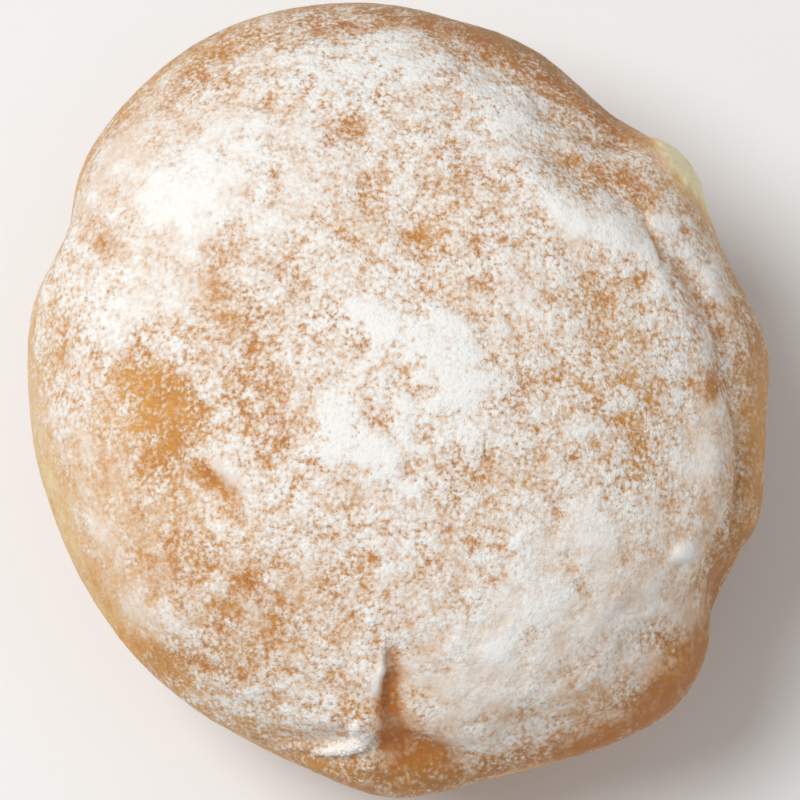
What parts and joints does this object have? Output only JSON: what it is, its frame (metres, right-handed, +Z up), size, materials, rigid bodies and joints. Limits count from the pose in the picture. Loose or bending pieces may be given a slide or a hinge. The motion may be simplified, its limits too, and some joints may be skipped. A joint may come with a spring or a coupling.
{
  "type": "mini berliner doughnut",
  "caption": "Small round filled-style doughnut without a hole, with a fried crust, a paler collar, a folded front and a dusting of icing sugar; a snack food.",
  "frame": {"origin": "on the surface that the doughnut rests on, under the middle of its outline", "axes": "+Z up through the crown, +Y along the longer side of the outline, towards the back, +X to the right seen from the front fold"},
  "size_m": [0.0534, 0.058, 0.0363],
  "materials": {
    "sugared_crust": "matte fried crust dusted with icing sugar"
  },
  "bodies": {
    "root": {"dough": "sugared_crust"}
  },
  "joints": []
}
